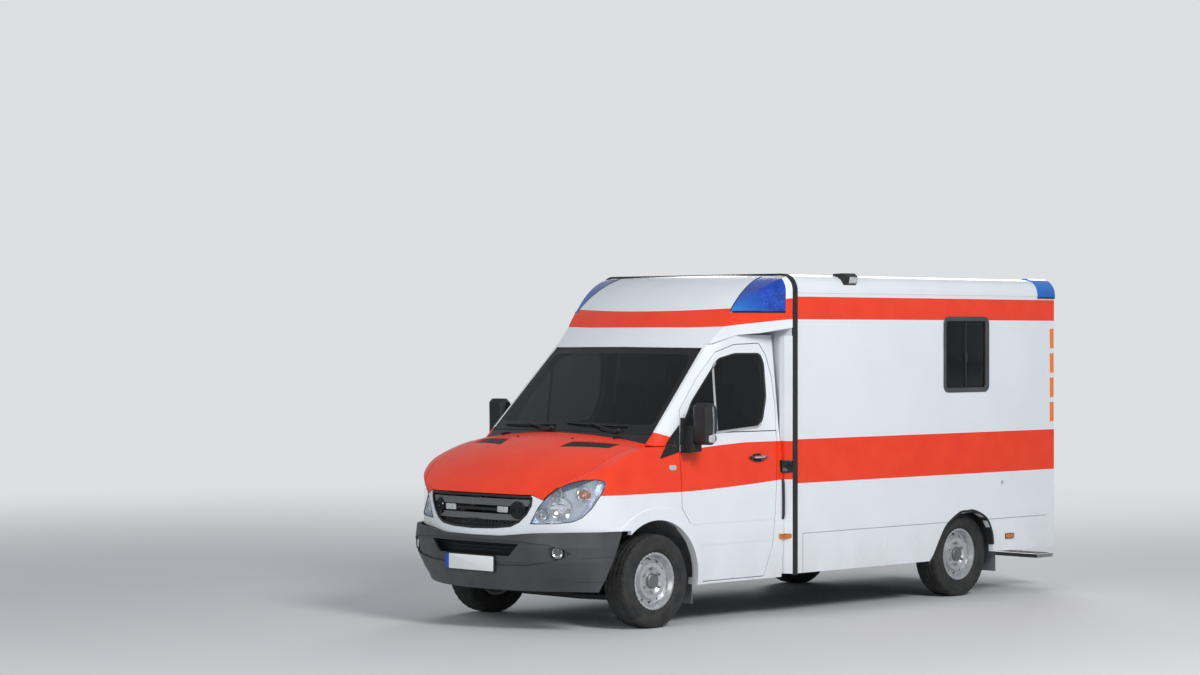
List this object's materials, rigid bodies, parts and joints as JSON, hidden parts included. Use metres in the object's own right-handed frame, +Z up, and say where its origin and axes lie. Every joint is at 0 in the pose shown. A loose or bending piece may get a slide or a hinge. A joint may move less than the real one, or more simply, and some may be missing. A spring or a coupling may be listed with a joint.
{
  "type": "ambulance",
  "caption": "Box-bodied ambulance on a van chassis, with opening cab, side and rear doors, a lifting hood, steered front wheels and a hollow patient box.",
  "frame": {"origin": "on the ground under the middle of the overall bounding box", "axes": "+X towards the nose, +Y to the vehicle's left, +Z up"},
  "size_m": [6.0467, 2.424, 2.6679],
  "materials": {
    "white_body": "glossy white paint with luminous red-orange stripes",
    "red_paint": "glossy luminous red-orange film",
    "black_plastic": "grained black plastic",
    "grey_plastic": "dark grey moulded bumper plastic",
    "seam_rubber": "black rubber",
    "tinted_glass": "dark tinted glass",
    "clear_glass": "clear lens",
    "blue_lens": "blue warning-light lens",
    "tyre_rubber": "road tyre rubber",
    "wheel_silver": "silver painted steel",
    "chassis_black": "black chassis paint",
    "engine_metal": "cast metal",
    "steel": "bare worn steel",
    "seat_cloth": "dark woven seat cloth",
    "floor_vinyl": "grey vinyl floor"
  },
  "bodies": {
    "body": {"beacon_left": "blue_lens", "beacon_right": "blue_lens", "box_floor": "floor_vinyl", "box_front_wall": "white_body", "box_roof": "white_body", "box_wall_left": "white_body", "box_wall_right": "white_body", "box_window": "tinted_glass", "cab_floor": "chassis_black", "cab_frame": "white_body", "cab_seats": "seat_cloth", "chassis_frame": "chassis_black", "dashboard": "black_plastic", "engine_block": "engine_metal", "exhaust_pipe": "steel", "fender_left": "white_body", "fender_right": "white_body", "front_bumper": "grey_plastic", "front_suspension": "chassis_black", "fuel_tank": "chassis_black", "grille": "black_plastic", "headlamp_left": "clear_glass", "headlamp_right": "clear_glass", "nose_panel": "white_body", "rear_axle": "chassis_black", "rear_frame": "white_body", "rear_step": "chassis_black", "roof_cap": "white_body", "scene_light": "black_plastic", "seam_strip": "seam_rubber", "tail_beacon_left": "blue_lens", "tail_beacon_right": "blue_lens", "windscreen": "tinted_glass"},
    "cab_door_left": {"cab_door_left": "white_body", "cab_glass_left": "tinted_glass", "mirror_left": "black_plastic"},
    "cab_door_right": {"cab_door_right": "white_body", "cab_glass_right": "tinted_glass", "mirror_right": "black_plastic"},
    "side_door": {"side_door": "white_body", "side_glass": "tinted_glass"},
    "rear_door_left": {"rear_door_left": "white_body", "rear_glass_left": "tinted_glass"},
    "rear_door_right": {"rear_door_right": "white_body", "rear_glass_right": "tinted_glass"},
    "hood": {"hood": "red_paint"},
    "knuckle_left": {"knuckle_left": "steel"},
    "knuckle_right": {"knuckle_right": "steel"},
    "wheel_front_left": {"wheel_front_left": "wheel_silver", "tyre_front_left": "tyre_rubber"},
    "wheel_front_right": {"wheel_front_right": "wheel_silver", "tyre_front_right": "tyre_rubber"},
    "wheel_rear_left": {"wheel_rear_left": "wheel_silver", "tyre_rear_left": "tyre_rubber"},
    "wheel_rear_right": {"wheel_rear_right": "wheel_silver", "tyre_rear_right": "tyre_rubber"},
    "steering_rack": {"steering_rack": "steel"},
    "steering_wheel": {"steering_wheel": "black_plastic"}
  },
  "joints": [
    {"name": "steer_left", "type": "hinge", "parent": "body", "child": "knuckle_left", "pos_m": [2.023, 0.7, 0.35], "axis": [0, 0, 1], "range_deg": [-32, 32]},
    {"name": "steer_right", "type": "hinge", "parent": "body", "child": "knuckle_right", "pos_m": [2.023, -0.7, 0.35], "axis": [0, 0, 1], "range_deg": [-32, 32]},
    {"name": "rack_slide", "type": "slide", "parent": "body", "child": "steering_rack", "axis": [0, 1, 0], "range_m": [-0.074, 0.074]},
    {"name": "steering_wheel_turn", "type": "hinge", "parent": "body", "child": "steering_wheel", "pos_m": [1.463, 0.42, 1.13], "axis": [-0.8829, 0, 0.4695], "range_deg": [-485, 485]},
    {"name": "front_left_spin", "type": "hinge", "parent": "knuckle_left", "child": "wheel_front_left", "pos_m": [2.023, 0.855, 0.35], "axis": [0, 1, 0], "continuous": true},
    {"name": "front_right_spin", "type": "hinge", "parent": "knuckle_right", "child": "wheel_front_right", "pos_m": [2.023, -0.855, 0.35], "axis": [0, 1, 0], "continuous": true},
    {"name": "rear_left_spin", "type": "hinge", "parent": "body", "child": "wheel_rear_left", "pos_m": [-1.642, 0.855, 0.35], "axis": [0, 1, 0], "continuous": true},
    {"name": "rear_right_spin", "type": "hinge", "parent": "body", "child": "wheel_rear_right", "pos_m": [-1.642, -0.855, 0.35], "axis": [0, 1, 0], "continuous": true},
    {"name": "cab_door_left_hinge", "type": "hinge", "parent": "body", "child": "cab_door_left", "pos_m": [1.767, 0.992, 1], "axis": [0, 0, -1], "range_deg": [0, 70]},
    {"name": "cab_door_right_hinge", "type": "hinge", "parent": "body", "child": "cab_door_right", "pos_m": [1.767, -0.992, 1], "axis": [0, 0, 1], "range_deg": [0, 70]},
    {"name": "hood_hinge", "type": "hinge", "parent": "body", "child": "hood", "pos_m": [2.069, 0, 1.416], "axis": [0, -1, 0], "range_deg": [0, 60]},
    {"name": "side_door_hinge", "type": "hinge", "parent": "body", "child": "side_door", "pos_m": [0.373, -1.059, 1.3], "axis": [0, 0, 1], "range_deg": [0, 110]},
    {"name": "rear_door_left_hinge", "type": "hinge", "parent": "body", "child": "rear_door_left", "pos_m": [-2.846, 0.965, 1.5], "axis": [0, 0, -1], "range_deg": [0, 180]},
    {"name": "rear_door_right_hinge", "type": "hinge", "parent": "body", "child": "rear_door_right", "pos_m": [-2.846, -0.965, 1.5], "axis": [0, 0, 1], "range_deg": [0, 180]}
  ],
  "couplings": [
    {"joint": "steer_right", "follows": "steer_left", "ratio": 1},
    {"joint": "rack_slide", "follows": "steer_left", "m_per_rad": -0.13},
    {"joint": "steering_wheel_turn", "follows": "steer_left", "ratio": 15}
  ]
}
